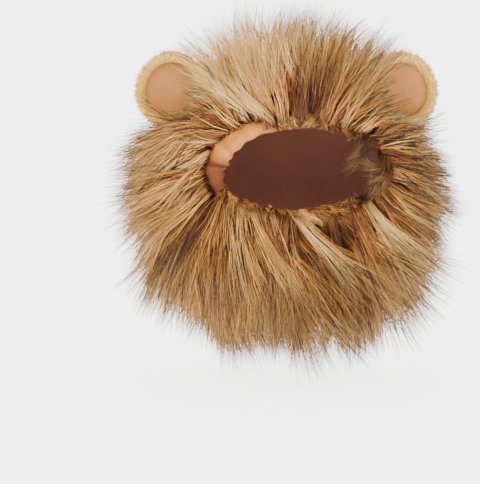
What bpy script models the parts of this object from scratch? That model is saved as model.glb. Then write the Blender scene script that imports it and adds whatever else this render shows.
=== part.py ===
"""Lion mane wig for a cat or a small dog, worn round the head like a hood.

Metres, +Z up. The face opening looks along -Y and the neck opening looks down and back.
The origin is the crown seat, where the top of the pet's head bears on the lining.
Every piece is placed on one surface, the inside of the hood, by an angle round it and a share
of the way from the face opening to the neck opening. An offset is measured out from it.
"""

import math
import random

import bmesh
import bpy
from mathutils import Matrix, Vector

# The two openings, measured clear inside their bands
MOUTH_WIDTH = 0.110
MOUTH_HEIGHT = 0.055
MOUTH_SHIFT = 0.005
NECK_WIDTH = 0.104
NECK_HEIGHT = 0.090

# The hood between them
HOOD_WIDTH = 0.148
HOOD_HEIGHT = 0.130
HOOD_DEPTH = 0.075
NECK_DROP = 0.074
NECK_TILT = math.radians(63)
OVAL_POWER = 2.25
CROWN_SHARE = 0.36

# Cloth and bands. The pile is cut back from the ears and bands by a share of the gap.
LINING_THICKNESS = 0.0018
CLOTH_THICKNESS = 0.0022
PILE_DEPTH = 0.018
SEAT_GAP = 0.0003
BAND_ROOM_GROWTH = 0.90
EAR_ROOM_GROWTH = 1.30
FACE_BAND_WIDTH = 0.008
NECK_BAND_WIDTH = 0.008
ROLL_BULGE = 1.00
ROLL_ANGLE = 156.0
ROLL_SPREAD = 44.0

# Elastic gathers at both bands
GATHER_COUNT = 12
GATHER_DEPTH = 0.0014
STEPS_PER_GATHER = 4
BAND_SIDES = 6
BAND_PUCKER = 0.12

# Locks of the long pile
LOCK_LENGTH = 0.090
LOCK_WIDTH = 0.034
LOCK_THICKNESS = 0.021
LOCK_SIDES = 5
LOCK_SETTLE = 0.35
TRAIL_FALL = 0.10
LOCK_JITTER = 0.10
LOCK_SEED = 11

# The pile and its locks are made one body on a fine grid, which is then thinned out
GRID_STEP = 0.003
KEPT_FACES = 0.082
CUT_REACH = 0.040

# Ears
EAR_RADIUS = 0.0275
EAR_SINK = 0.0165
EAR_ANGLE = 39.0
EAR_SHARE = 0.50
EAR_TURN = 14.0
EAR_RIM_WIDTH = 0.0070
EAR_WALL = 0.0030
EAR_CUP_DEPTH = 0.0060
EAR_PAD_THICKNESS = 0.0030
EAR_STEPS = 20
RIM_STEPS = 6
EAR_FRONT_ROOM = 0.030
RIM_START = -50.0
RIM_END = 150.0
PAD_EDGE = 0.60

# The sections of the hood from the face to the neck. A section's size is a mix of the face
# opening's, the hood's and the neck opening's, and the rest are shares of sizes above.
SECTION_COLUMNS = ("share", "depth", "mouth", "hood", "neck", "drop", "tilt", "pile", "gather")
SECTIONS = (
    (0.00, 0.00, 1.00, 0.00, 0.00, 0.00, 0.00, 0.30, 1.00),
    (0.08, 0.03, 0.52, 0.48, 0.00, 0.00, 0.00, 0.70, 0.80),
    (0.20, 0.15, 0.20, 0.80, 0.00, 0.00, 0.00, 1.00, 0.45),
    (0.35, 0.32, 0.04, 0.96, 0.00, 0.02, 0.05, 1.00, 0.10),
    (0.50, 0.52, 0.00, 1.00, 0.00, 0.10, 0.20, 1.00, 0.00),
    (0.66, 0.72, 0.00, 0.88, 0.12, 0.28, 0.45, 1.00, 0.10),
    (0.84, 0.89, 0.00, 0.50, 0.50, 0.62, 0.75, 0.90, 0.55),
    (1.00, 1.00, 0.00, 0.00, 1.00, 1.00, 1.00, 0.35, 1.00),
)

# Folds and lumps of the fur cloth. Angle and spread are in degrees round the hood, share and
# reach run along it, and height is a share of the pile's depth.
FOLD_COLUMNS = ("angle", "share", "spread", "reach", "height")
FOLDS = (
    (-92.0, 0.30, 26.0, 0.22, 0.75),
    (-62.0, 0.34, 7.0, 0.22, -0.75),
    (-122.0, 0.46, 8.0, 0.16, -0.45),
    (100.0, 0.20, 20.0, 0.12, 0.35),
)

# How the long pile falls, by angle round the hood: its heading seen from the front, in degrees
# from +X towards +Z, its length as a share of LOCK_LENGTH, and how far it leans back.
FALL_COLUMNS = ("angle", "heading", "length", "lean")
FALLS = (
    (-90.0, -68.0, 1.02, 0.00),
    (-70.0, -60.0, 0.98, 0.00),
    (-50.0, -54.0, 0.98, 0.05),
    (-30.0, -46.0, 0.84, 0.15),
    (-10.0, -36.0, 0.64, 0.25),
    (10.0, -16.0, 0.56, 0.30),
    (30.0, 20.0, 0.56, 0.30),
    (50.0, 48.0, 0.54, 0.15),
    (70.0, 66.0, 0.56, 0.05),
    (90.0, 88.0, 0.55, 0.00),
    (110.0, 116.0, 0.56, 0.05),
    (130.0, 144.0, 0.54, 0.15),
    (150.0, 182.0, 0.56, 0.30),
    (170.0, 206.0, 0.66, 0.30),
    (190.0, 224.0, 0.78, 0.25),
    (210.0, 239.0, 0.84, 0.15),
    (230.0, 257.0, 0.86, 0.05),
    (250.0, 276.0, 0.96, 0.00),
)

# The rows of locks round the hood: share along it, number, length and width as shares, how far
# a lock rises before it falls, and how far it trails to the neck instead of falling as above.
ROW_COLUMNS = ("share", "count", "length", "width", "rise", "trail")
ROWS = (
    (0.07, 18, 0.96, 1.00, 0.42, 0.00),
    (0.22, 18, 0.88, 1.00, 0.34, 0.00),
    (0.38, 18, 0.80, 1.00, 0.26, 0.20),
    (0.53, 18, 0.78, 1.15, 0.24, 0.60),
    (0.68, 17, 0.78, 1.25, 0.24, 0.90),
    (0.84, 16, 0.70, 1.25, 0.22, 1.00),
)

# A lock from its root to its tip: width and thickness as shares.
LOCK_COLUMNS = ("along", "width", "thickness")
LOCK_SHAPE = (
    (0.00, 0.85, 1.00),
    (0.34, 1.00, 0.95),
    (0.68, 0.78, 0.70),
    (1.00, 0.12, 0.12),
)

# The shares of its length that a lock near an ear is tried at
EAR_TRIMS = (1.0, 0.7, 0.45)

# An ear's cup behind and inside its rim: shares of the ear's radius and of the cup's depth.
CUP_COLUMNS = ("radius", "depth")
CUP_BACK = (
    (0.00, 1.00),
    (0.45, 0.93),
    (0.75, 0.75),
)
CUP_DISH = (
    (0.72, 0.45),
    (0.45, 0.90),
    (0.00, 1.00),
)

# Linear colour and roughness of each material
MATERIALS = {
    "fur": ((0.55, 0.33, 0.14), 0.85),
    "yellow_plush": ((0.80, 0.60, 0.25), 0.90),
    "ear_felt": ((0.56, 0.26, 0.12), 0.90),
    "tan_plush": ((0.68, 0.36, 0.14), 0.85),
    "lining_cloth": ((0.13, 0.05, 0.03), 0.80),
}

CLOTH_INSIDE = LINING_THICKNESS + SEAT_GAP
CLOTH_OUTSIDE = CLOTH_INSIDE + CLOTH_THICKNESS
AROUND = GATHER_COUNT * STEPS_PER_GATHER
SHARES = [row[0] for row in SECTIONS]


def between(table, columns, value):
    """The table's row at a value of its first column, as a dictionary, read in straight lines."""
    for low, high in zip(table, table[1:]):
        if value <= high[0]:
            break
    mix = min(max((value - low[0]) / (high[0] - low[0]), 0.0), 1.0)
    return {name: a + (b - a) * mix for name, a, b in zip(columns, low, high)}


def named(columns, row):
    return dict(zip(columns, row))


def fall_at(degrees):
    """The fall of the pile at an angle, with the table closed round the hood."""
    first = FALLS[0]
    closing = (first[0] + 360.0, first[1] + 360.0, first[2], first[3])
    return between((*FALLS, closing), FALL_COLUMNS, (degrees - first[0]) % 360.0 + first[0])


def apart(degrees, other):
    """How far one angle is from another, from -180 to 180."""
    return (degrees - other + 180.0) % 360.0 - 180.0


def oval(degrees, half_width, half_height):
    """(x, z) on a rounded oval, which is a little squarer than an ellipse."""
    power = 2 / OVAL_POWER
    across = math.cos(math.radians(degrees))
    up = math.sin(math.radians(degrees))
    return (
        math.copysign(abs(across) ** power, across) * half_width,
        math.copysign(abs(up) ** power, up) * half_height,
    )


def raw_point(degrees, share):
    """A point inside the hood without gathers, measured from the middle of the face opening."""
    row = between(SECTIONS, SECTION_COLUMNS, share)
    mouth_edge = FACE_BAND_WIDTH + SEAT_GAP
    neck_edge = NECK_BAND_WIDTH + SEAT_GAP
    half_width = (
        row["mouth"] * (MOUTH_WIDTH / 2 + mouth_edge)
        + row["hood"] * HOOD_WIDTH / 2
        + row["neck"] * (NECK_WIDTH / 2 + neck_edge)
    )
    half_height = (
        row["mouth"] * (MOUTH_HEIGHT / 2 + mouth_edge)
        + row["hood"] * HOOD_HEIGHT / 2
        + row["neck"] * (NECK_HEIGHT / 2 + neck_edge)
    )
    across, up = oval(degrees, half_width, half_height)
    tilt = NECK_TILT * row["tilt"]
    return Vector((
        across + MOUTH_SHIFT * row["mouth"],
        HOOD_DEPTH * row["depth"] + up * math.sin(tilt),
        up * math.cos(tilt) - NECK_DROP * row["drop"],
    ))


CROWN_SEAT = raw_point(90.0, CROWN_SHARE)


def frame_at(degrees, share):
    """The hood's outward normal and its direction to the neck."""
    step = 0.02
    after = raw_point(degrees, min(share + step, 1.0))
    along = after - raw_point(degrees, max(share - step, 0.0))
    turn = 360.0 / AROUND
    around = raw_point(degrees + turn, share) - raw_point(degrees - turn, share)
    return along.cross(around).normalized(), along.normalized()


def hood_point(degrees, share, offset=0.0):
    """A point on the gathered hood, this far out from its inside."""
    normal, _ = frame_at(degrees, share)
    gather = between(SECTIONS, SECTION_COLUMNS, share)["gather"]
    ripple = GATHER_DEPTH * gather * math.cos(math.radians(GATHER_COUNT * degrees))
    return raw_point(degrees, share) - CROWN_SEAT + normal * (offset + ripple)


def pile_top(degrees, share):
    """The offset of the dense pile's surface, with its folds."""
    height = between(SECTIONS, SECTION_COLUMNS, share)["pile"]
    for row in FOLDS:
        fold = named(FOLD_COLUMNS, row)
        away = apart(degrees, fold["angle"]) / fold["spread"]
        beyond = (share - fold["share"]) / fold["reach"]
        height += fold["height"] * math.exp(-(away**2) - beyond**2)
    return CLOTH_OUTSIDE + PILE_DEPTH * max(height, 0.15)


def new_object(name, mesh, collection):
    made = bpy.data.objects.new(name, mesh)
    collection.objects.link(made)
    return made


def mesh_object(name, points, faces, collection):
    mesh = bpy.data.meshes.new(name)
    mesh.from_pydata([tuple(point) for point in points], [], faces)
    work = bmesh.new()
    work.from_mesh(mesh)
    bmesh.ops.recalc_face_normals(work, faces=work.faces)
    work.to_mesh(mesh)
    work.free()
    return new_object(name, mesh, collection)


def ring_faces(rings, sides, closed):
    """Triangles between rings of points that follow one another in a list. Sheets made this way
    have the same diagonals, so they keep the gap between them."""
    faces = []
    for ring in range(rings if closed else rings - 1):
        low = ring * sides
        high = (ring + 1) % rings * sides
        for side in range(sides):
            beside = (side + 1) % sides
            faces.append((low + side, low + beside, high + beside))
            faces.append((low + side, high + beside, high + side))
    return faces


def angles():
    return [360.0 * step / AROUND for step in range(AROUND)]


def sheet_points(offset):
    """Rings of points from the face to the neck at an offset, a function of angle and share."""
    return [
        hood_point(degrees, share, offset(degrees, share))
        for share in SHARES
        for degrees in angles()
    ]


def wall_mesh(inside, outside):
    """The points and faces of a closed wall round the hood between two offsets."""
    points = sheet_points(inside) + sheet_points(outside)
    half = len(points) // 2
    faces = ring_faces(len(SHARES), AROUND, False)
    faces += [tuple(half + point for point in face) for face in faces]
    for first in (0, half - AROUND):
        for step in range(AROUND):
            low = first + step
            beside = first + (step + 1) % AROUND
            faces.append((low, beside, half + beside, half + low))
    return points, faces


def filled_hood(name, offset, reach, collection):
    """The room inside one offset of the hood, carried on past both of its openings."""
    out_of_face = Vector((0.0, -reach, 0.0))
    out_of_neck = Vector((0.0, math.cos(NECK_TILT), -math.sin(NECK_TILT))) * reach
    sheet = sheet_points(lambda degrees, share: offset)
    points = [point + out_of_face for point in sheet[:AROUND]] + sheet
    points += [point + out_of_neck for point in sheet[-AROUND:]]
    rings = len(points) // AROUND
    faces = ring_faces(rings, AROUND, False)
    faces.append(tuple(range(AROUND)))
    faces.append(tuple(range(len(points) - AROUND, len(points))))
    return mesh_object(name, points, faces, collection)


def band(name, share, way, width, bulge, grown, collection):
    """A gathered tube beyond the cloth's edge, at the face (way -1) or the neck (way 1)."""
    middle = (CLOTH_OUTSIDE + LINING_THICKNESS) / 2
    points = []
    for degrees in angles():
        roll = 1 + bulge * math.exp(-((apart(degrees, ROLL_ANGLE) / ROLL_SPREAD) ** 2))
        pucker = 1 - BAND_PUCKER * (1 - math.cos(math.radians(GATHER_COUNT * degrees))) / 2
        radius = width / 2 * roll * pucker + grown
        normal, along = frame_at(degrees, share)
        centre = hood_point(degrees, share, middle)
        centre += along * way * (width / 2 * roll + SEAT_GAP)
        for side in range(BAND_SIDES):
            turn = math.tau * side / BAND_SIDES
            points.append(centre + (along * math.cos(turn) + normal * math.sin(turn)) * radius)
    return mesh_object(name, points, ring_faces(AROUND, BAND_SIDES, True), collection)


def lock_path(degrees, row):
    """The three points that shape a lock's curve, and the hood's normal at its root."""
    fall = fall_at(degrees)
    normal, along = frame_at(degrees, row["share"])
    heading = math.radians(fall["heading"])
    falling = Vector((math.cos(heading), fall["lean"], math.sin(heading))).normalized()
    trailing = (along + normal * row["rise"] + Vector((0.0, 0.0, -TRAIL_FALL))).normalized()
    tip_way = falling.lerp(trailing, row["trail"]).normalized()
    length = LOCK_LENGTH * fall["length"] * row["length"]
    settled = CLOTH_OUTSIDE + LOCK_SETTLE * (pile_top(degrees, row["share"]) - CLOTH_OUTSIDE)
    root = hood_point(degrees, row["share"], settled)
    bend = root + normal * length * row["rise"]
    return root, bend, bend + tip_way * length * (1 - row["rise"]), normal


def lock_point(path, along):
    root, bend, tip, _ = path
    return root * (1 - along) ** 2 + bend * 2 * along * (1 - along) + tip * along**2


def lock_ring(path, along, width, thickness):
    """The points of one section across a lock."""
    before = lock_point(path, max(along - 0.05, 0.0))
    way = (lock_point(path, min(along + 0.05, 1.0)) - before).normalized()
    normal = path[3]
    sideways = way.cross(normal)
    if sideways.length < 0.2:
        sideways = way.cross(Vector((normal.z, 0.0, -normal.x)).cross(normal))
    sideways.normalize()
    flat = sideways.cross(way).normalized()
    ring = []
    for side in range(LOCK_SIDES):
        turn = math.tau * side / LOCK_SIDES
        across = sideways * math.cos(turn) * width / 2
        ring.append(lock_point(path, along) + across + flat * math.sin(turn) * thickness / 2)
    return ring


def lock_rings(degrees, row):
    """The rings of points along one lock."""
    path = lock_path(degrees, row)
    rings = []
    for shape_row in LOCK_SHAPE:
        shape = named(LOCK_COLUMNS, shape_row)
        width = LOCK_WIDTH * shape["width"] * row["width"]
        rings.append(lock_ring(path, shape["along"], width, LOCK_THICKNESS * shape["thickness"]))
    return rings


def ear_angle(side):
    return EAR_ANGLE if side > 0 else 180.0 - EAR_ANGLE


def ear_matrix(side):
    """Where an ear stands: its middle, with X across it, Y up it and Z out of its front."""
    degrees = ear_angle(side)
    up, _ = frame_at(degrees, EAR_SHARE)
    seat = hood_point(degrees, EAR_SHARE, pile_top(degrees, EAR_SHARE))
    turn = math.radians(EAR_TURN)
    front = Vector((side * math.sin(turn), -math.cos(turn), 0.0))
    front = (front - up * front.dot(up)).normalized()
    middle = seat + up * (EAR_RADIUS - EAR_SINK)
    turned = Matrix((up.cross(front), up, front)).transposed().to_4x4()
    return Matrix.Translation(middle) @ turned


def meets_ear(rings):
    """True if a lock passes through either ear or through the room kept in front of it."""
    room = EAR_RADIUS + SEAT_GAP
    deep = EAR_CUP_DEPTH + EAR_RIM_WIDTH / 2
    for side in (-1, 1):
        to_ear = ear_matrix(side).inverted()
        for low, high in zip(rings, rings[1:]):
            for first, last in zip(low, high):
                for step in range(7):
                    spot = to_ear @ first.lerp(last, step / 6)
                    if math.hypot(spot.x, spot.y) < room and -deep < spot.z < EAR_FRONT_ROOM:
                        return True
    return False


def add_lock(rings, points, faces):
    first = len(points)
    last = first + (len(rings) - 1) * LOCK_SIDES
    sides = ring_faces(len(rings), LOCK_SIDES, False)
    faces += [tuple(first + point for point in face) for face in sides]
    faces.append(tuple(range(first, first + LOCK_SIDES)))
    faces.append(tuple(range(last, last + LOCK_SIDES)))
    for ring in rings:
        points += ring


def add_locks(points, faces):
    """Adds the locks, trimmed where they would cover an ear."""
    dice = random.Random(LOCK_SEED)
    for number, table_row in enumerate(ROWS):
        for place in range(table_row[1]):
            row = named(ROW_COLUMNS, table_row)
            row["length"] *= 1 + dice.uniform(-1, 1) * LOCK_JITTER
            shift = number % 2 / 2 + dice.uniform(-1, 1) * LOCK_JITTER
            degrees = (place + shift) * 360.0 / row["count"]
            for kept in EAR_TRIMS:
                rings = lock_rings(degrees, {**row, "length": row["length"] * kept})
                if not meets_ear(rings):
                    add_lock(rings, points, faces)
                    break


def cut(target, room):
    change = target.modifiers.new(room.name, "BOOLEAN")
    change.operation = "DIFFERENCE"
    change.solver = "EXACT"
    change.object = room


def islands(work):
    """The faces of a mesh in groups, each joined by edges that two faces share."""
    left = set(work.faces)
    found = []
    while left:
        group = [left.pop()]
        for face in group:
            edges = [edge for edge in face.edges if edge.is_manifold]
            beside = {other for edge in edges for other in edge.link_faces} & left
            left -= beside
            group += sorted(beside, key=lambda other: other.index)
        found.append(group)
    return found


def settle(made):
    """Turns an object's modifiers into its mesh, without the ends of locks that a cut set free."""
    bpy.context.view_layer.update()
    graph = bpy.context.evaluated_depsgraph_get()
    mesh = bpy.data.meshes.new_from_object(made.evaluated_get(graph))
    made.modifiers.clear()
    made.data = mesh
    work = bmesh.new()
    work.from_mesh(mesh)
    bmesh.ops.triangulate(work, faces=work.faces)
    loose = sorted(islands(work), key=len)[:-1]
    bmesh.ops.delete(work, geom=[face for group in loose for face in group], context="FACES")
    work.to_mesh(mesh)
    work.free()


def turned_object(name, profile, matrix, collection):
    """A profile of (radius, height) turned about its own Z axis."""
    mesh = bpy.data.meshes.new(name)
    points = [(radius, 0.0, height) for radius, height in profile]
    mesh.from_pydata(points, [(i, i + 1) for i in range(len(points) - 1)], [])
    made = new_object(name, mesh, collection)
    made.matrix_world = matrix
    screw = made.modifiers.new("turn", "SCREW")
    screw.steps = EAR_STEPS
    screw.render_steps = EAR_STEPS
    screw.use_merge_vertices = True
    screw.merge_threshold = 0.00001
    screw.use_normal_calculate = True
    return made


def cup_points(table, depth, raised):
    """Points of (radius, height) across an ear's cup."""
    rows = [named(CUP_COLUMNS, row) for row in table]
    return [(EAR_RADIUS * row["radius"], raised - depth * row["depth"]) for row in rows]


def rim_points(grown, end):
    """Points round an ear's rim, from its back to an angle, grown by a gap."""
    rim = EAR_RIM_WIDTH / 2
    found = []
    for step in range(RIM_STEPS + 1):
        turn = math.radians(RIM_START + (end - RIM_START) * step / RIM_STEPS)
        across = (rim + grown) * math.cos(turn)
        found.append((EAR_RADIUS - rim + across, (rim + grown) * math.sin(turn)))
    return found


def shell_profile():
    """An ear's cup from the middle of its back, round the rim, to the middle of its inside."""
    back = cup_points(CUP_BACK, EAR_CUP_DEPTH, 0.0)
    dish = cup_points(CUP_DISH, EAR_CUP_DEPTH - EAR_WALL, 0.0)
    return back + rim_points(0.0, RIM_END) + dish


def pad_profile():
    """The pad in an ear's cup, from the middle of its underside to the middle of its face."""
    under = cup_points(CUP_DISH, EAR_CUP_DEPTH - EAR_WALL, SEAT_GAP)
    edge = (under[0][0], under[0][1] + EAR_PAD_THICKNESS * PAD_EDGE)
    over = cup_points(CUP_DISH[1:], EAR_CUP_DEPTH - EAR_WALL, SEAT_GAP + EAR_PAD_THICKNESS)
    return [*under[::-1], edge, *over]


def room_profile():
    """The space that an ear needs, larger than its shell and closed over its front."""
    grown = SEAT_GAP * EAR_ROOM_GROWTH
    back = cup_points(CUP_BACK, EAR_CUP_DEPTH, -grown)
    return [*back, *rim_points(grown, 90.0), (0.0, EAR_RIM_WIDTH / 2 + grown)]


def ear(side, word, cloth_room, collection, materials):
    """One ear's shell and the pad inside it, both sunk in the pile as far as the cloth."""
    matrix = ear_matrix(side)
    shell = turned_object(f"ear_{word}_shell", shell_profile(), matrix, collection)
    pad = turned_object(f"ear_{word}_inner", pad_profile(), matrix, collection)
    cut(shell, cloth_room)
    cut(pad, cloth_room)
    give_material(shell, materials["yellow_plush"])
    give_material(pad, materials["ear_felt"])


def mane_fur(cutters, collection, materials):
    """The fur cloth with its dense pile and long locks, made one body and then hollowed."""
    points, faces = wall_mesh(lambda degrees, share: CLOTH_INSIDE - GRID_STEP, pile_top)
    add_locks(points, faces)
    fur = mesh_object("mane_fur", points, faces, collection)
    grid = fur.modifiers.new("one body", "REMESH")
    grid.mode = "VOXEL"
    grid.voxel_size = GRID_STEP
    thin = fur.modifiers.new("fewer faces", "DECIMATE")
    thin.ratio = KEPT_FACES
    cut(fur, filled_hood("head_room", CLOTH_INSIDE, CUT_REACH, cutters))
    grown = SEAT_GAP * BAND_ROOM_GROWTH
    cut(fur, band("face_room", 0.0, -1, FACE_BAND_WIDTH, ROLL_BULGE, grown, cutters))
    cut(fur, band("neck_room", 1.0, 1, NECK_BAND_WIDTH, 0.0, grown, cutters))
    for side, word in ((-1, "left"), (1, "right")):
        room = turned_object(f"ear_{word}_room", room_profile(), ear_matrix(side), cutters)
        cut(fur, room)
    settle(fur)
    give_material(fur, materials["fur"])


def lining_and_bands(collection, materials):
    lining = mesh_object(
        "lining",
        *wall_mesh(lambda degrees, share: 0.0, lambda degrees, share: LINING_THICKNESS),
        collection,
    )
    give_material(lining, materials["lining_cloth"])
    face_band = band("face_band", 0.0, -1, FACE_BAND_WIDTH, ROLL_BULGE, 0.0, collection)
    neck_band = band("neck_band", 1.0, 1, NECK_BAND_WIDTH, 0.0, 0.0, collection)
    give_material(face_band, materials["tan_plush"])
    give_material(neck_band, materials["tan_plush"])


def material(name, colour, roughness):
    made = bpy.data.materials.new(name)
    made.use_nodes = True
    shader = made.node_tree.nodes["Principled BSDF"]
    shader.inputs["Base Color"].default_value = (*colour, 1.0)
    shader.inputs["Roughness"].default_value = roughness
    shader.inputs["Metallic"].default_value = 0.0
    return made


def give_material(made, chosen):
    made.data.materials.append(chosen)


def new_collection(name, hidden):
    collection = bpy.data.collections.new(name)
    collection.hide_render = hidden
    bpy.context.scene.collection.children.link(collection)
    return collection


def main():
    for old in list(bpy.data.objects):
        bpy.data.objects.remove(old)
    parts = new_collection("lion_mane_wig", False)
    cutters = new_collection("cutters", True)
    materials = {name: material(name, *values) for name, values in MATERIALS.items()}
    lining_and_bands(parts, materials)
    mane_fur(cutters, parts, materials)
    cloth_room = filled_hood("cloth_room", CLOTH_OUTSIDE + SEAT_GAP, CUT_REACH, cutters)
    for side, word in ((-1, "left"), (1, "right")):
        ear(side, word, cloth_room, parts, materials)
    for cutter in cutters.objects:
        cutter.hide_render = True
        cutter.display_type = "WIRE"


main()
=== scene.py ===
"""Pet lion mane wig, seen from the front on a plain white ground."""

import math

import bmesh
import bpy
import numpy as np
from mathutils import Matrix, Vector


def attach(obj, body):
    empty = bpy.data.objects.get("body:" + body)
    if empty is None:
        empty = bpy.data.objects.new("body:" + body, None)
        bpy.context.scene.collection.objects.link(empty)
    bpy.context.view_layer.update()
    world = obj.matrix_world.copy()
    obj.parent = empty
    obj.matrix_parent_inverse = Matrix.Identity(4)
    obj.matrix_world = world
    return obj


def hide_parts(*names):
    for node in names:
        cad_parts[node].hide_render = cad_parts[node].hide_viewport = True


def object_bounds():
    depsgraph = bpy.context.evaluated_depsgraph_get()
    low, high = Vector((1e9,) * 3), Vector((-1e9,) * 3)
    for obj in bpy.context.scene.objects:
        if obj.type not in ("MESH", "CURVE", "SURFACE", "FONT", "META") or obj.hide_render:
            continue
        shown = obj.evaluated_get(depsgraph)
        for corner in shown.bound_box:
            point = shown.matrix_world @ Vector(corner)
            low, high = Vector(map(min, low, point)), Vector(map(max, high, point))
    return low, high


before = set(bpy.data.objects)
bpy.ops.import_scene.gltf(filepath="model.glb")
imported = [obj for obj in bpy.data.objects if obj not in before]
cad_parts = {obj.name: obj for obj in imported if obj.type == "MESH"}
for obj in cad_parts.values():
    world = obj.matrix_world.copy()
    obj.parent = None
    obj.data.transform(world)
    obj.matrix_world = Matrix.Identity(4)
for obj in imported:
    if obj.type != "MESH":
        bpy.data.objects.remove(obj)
CAD_BOX = [list(corner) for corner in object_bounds()]

# Camera. The photo's centre lies down and left of the wig's.
SCALE = 0.0007
DISTANCE = 1.40
ELEVATION = math.radians(4.0)
OPENING_MIDDLE = Vector((0.0002, -0.0292, -0.0619))
PHOTO_SIZE = (480, 484)
WIG_PIXEL = (289.0, 168.0)

# The hood, as the part builds it
MOUTH_WIDTH = 0.110
MOUTH_HEIGHT = 0.055
MOUTH_SHIFT = 0.005
NECK_WIDTH = 0.104
NECK_HEIGHT = 0.090
HOOD_WIDTH = 0.148
HOOD_HEIGHT = 0.130
HOOD_DEPTH = 0.075
NECK_DROP = 0.074
NECK_TILT = math.radians(63)
OVAL_POWER = 2.25
CROWN_SHARE = 0.36
LINING_THICKNESS = 0.0018
CLOTH_OUTSIDE = 0.0043
PILE_DEPTH = 0.018
SEAT_GAP = 0.0003
FACE_BAND_WIDTH = 0.008
NECK_BAND_WIDTH = 0.008
GATHER_COUNT = 12
GATHER_DEPTH = 0.0014

SECTION_COLUMNS = ("share", "depth", "mouth", "hood", "neck", "drop", "tilt", "pile", "gather")
SECTIONS = np.array((
    (0.00, 0.00, 1.00, 0.00, 0.00, 0.00, 0.00, 0.30, 1.00),
    (0.08, 0.03, 0.52, 0.48, 0.00, 0.00, 0.00, 0.70, 0.80),
    (0.20, 0.15, 0.20, 0.80, 0.00, 0.00, 0.00, 1.00, 0.45),
    (0.35, 0.32, 0.04, 0.96, 0.00, 0.02, 0.05, 1.00, 0.10),
    (0.50, 0.52, 0.00, 1.00, 0.00, 0.10, 0.20, 1.00, 0.00),
    (0.66, 0.72, 0.00, 0.88, 0.12, 0.28, 0.45, 1.00, 0.10),
    (0.84, 0.89, 0.00, 0.50, 0.50, 0.62, 0.75, 0.90, 0.55),
    (1.00, 1.00, 0.00, 0.00, 1.00, 1.00, 1.00, 0.35, 1.00),
))

# How the hair falls by angle round the hood: heading from +X towards +Z seen from the front,
# length in metres and how far it leans back
FALLS = np.array((
    (-90.0, -66.0, 0.109, 0.00),
    (-70.0, -61.0, 0.103, 0.00),
    (-50.0, -56.0, 0.097, 0.05),
    (-30.0, -48.0, 0.082, 0.15),
    (-10.0, -38.0, 0.060, 0.25),
    (10.0, -16.0, 0.046, 0.30),
    (30.0, 20.0, 0.047, 0.30),
    (50.0, 48.0, 0.058, 0.15),
    (70.0, 63.0, 0.064, 0.05),
    (90.0, 86.0, 0.066, 0.00),
    (110.0, 118.0, 0.064, 0.05),
    (130.0, 148.0, 0.058, 0.15),
    (150.0, 184.0, 0.055, 0.30),
    (170.0, 206.0, 0.063, 0.30),
    (190.0, 222.0, 0.079, 0.25),
    (210.0, 236.0, 0.090, 0.15),
    (230.0, 256.0, 0.092, 0.05),
    (250.0, 276.0, 0.104, 0.00),
    (270.0, 294.0, 0.109, 0.00),
))

# By share along the hood: length as a share, rise before the fall, and trail to the neck
ROW_COLUMNS = ("share", "length", "rise", "trail")
ROWS = np.array((
    (0.00, 0.88, 0.19, 0.00),
    (0.10, 0.92, 0.24, 0.00),
    (0.22, 0.88, 0.23, 0.00),
    (0.38, 0.80, 0.24, 0.20),
    (0.53, 0.80, 0.23, 0.60),
    (0.68, 0.80, 0.22, 0.90),
    (0.84, 0.70, 0.20, 1.00),
    (1.00, 0.55, 0.16, 1.00),
))
TRAIL_FALL = 0.10
# The box that the tips of plain hair stay in, as its two corners
HAIR_REACH = ((-0.121, -0.070, -0.203), (0.117, 0.104, 0.055))

# Patches where the hair turns, is darker or lighter, or lies lower: middle angle and share,
# reach each way, turn in degrees, change of tone, and change of length as a share
PATCH_COLUMNS = ("angle", "share", "spread", "reach", "turn", "tone", "length")
PATCHES = (
    (42.0, 0.06, 22.0, 0.08, -26.0, -0.10, 0.00),
    (80.0, 0.02, 20.0, 0.06, 0.0, -0.28, 0.00),
    (100.0, 0.30, 40.0, 0.30, 0.0, 0.52, 0.00),
    (5.0, 0.34, 30.0, 0.24, 0.0, 0.44, 0.00),
    (-5.0, 0.02, 24.0, 0.06, -10.0, -0.10, 0.00),
    (-72.0, 0.16, 7.0, 0.10, 22.0, -0.06, 0.00),
    (-100.0, 0.06, 24.0, 0.07, 16.0, 0.16, 0.00),
    (-128.0, 0.20, 7.0, 0.08, -20.0, -0.16, -0.10),
    (-95.0, 0.16, 34.0, 0.20, 0.0, -0.26, 0.00),
    (180.0, 0.06, 24.0, 0.06, 0.0, -0.12, 0.00),
    (150.0, 0.12, 14.0, 0.06, 0.0, -0.22, 0.00),
    (-150.0, 0.25, 24.0, 0.18, 0.0, 0.04, 0.00),
    (-92.0, 0.30, 28.0, 0.50, 0.0, -0.12, 0.00),
    (108.0, 0.20, 34.0, 0.30, 0.0, 0.14, 0.00),
    (58.0, 0.22, 16.0, 0.25, 0.0, 0.22, 0.00),
    (22.0, 0.18, 16.0, 0.16, 0.0, 0.28, 0.00),
    (-30.0, 0.30, 26.0, 0.30, 0.0, 0.10, 0.00),
    (-107.0, 0.50, 6.0, 0.90, 0.0, 0.00, -0.22),
    (-72.0, 0.50, 5.0, 0.90, 0.0, 0.00, -0.20),
    (-89.0, 0.50, 8.0, 0.90, 0.0, -0.04, 0.04),
    (-122.0, 0.50, 7.0, 0.90, 0.0, 0.00, 0.06),
)

# Slow waves in the flow of the hair and in its tone: turns round the hood, turns along it,
# phase in degrees, and degrees of heading
DRIFT_COLUMNS = ("around", "along", "phase", "turn")
DRIFTS = (
    (5.0, 1.5, 20.0, 7.0),
    (9.0, -2.5, 140.0, 7.0),
    (14.0, 3.5, 260.0, 6.0),
    (21.0, -4.5, 80.0, 5.0),
)

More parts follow.
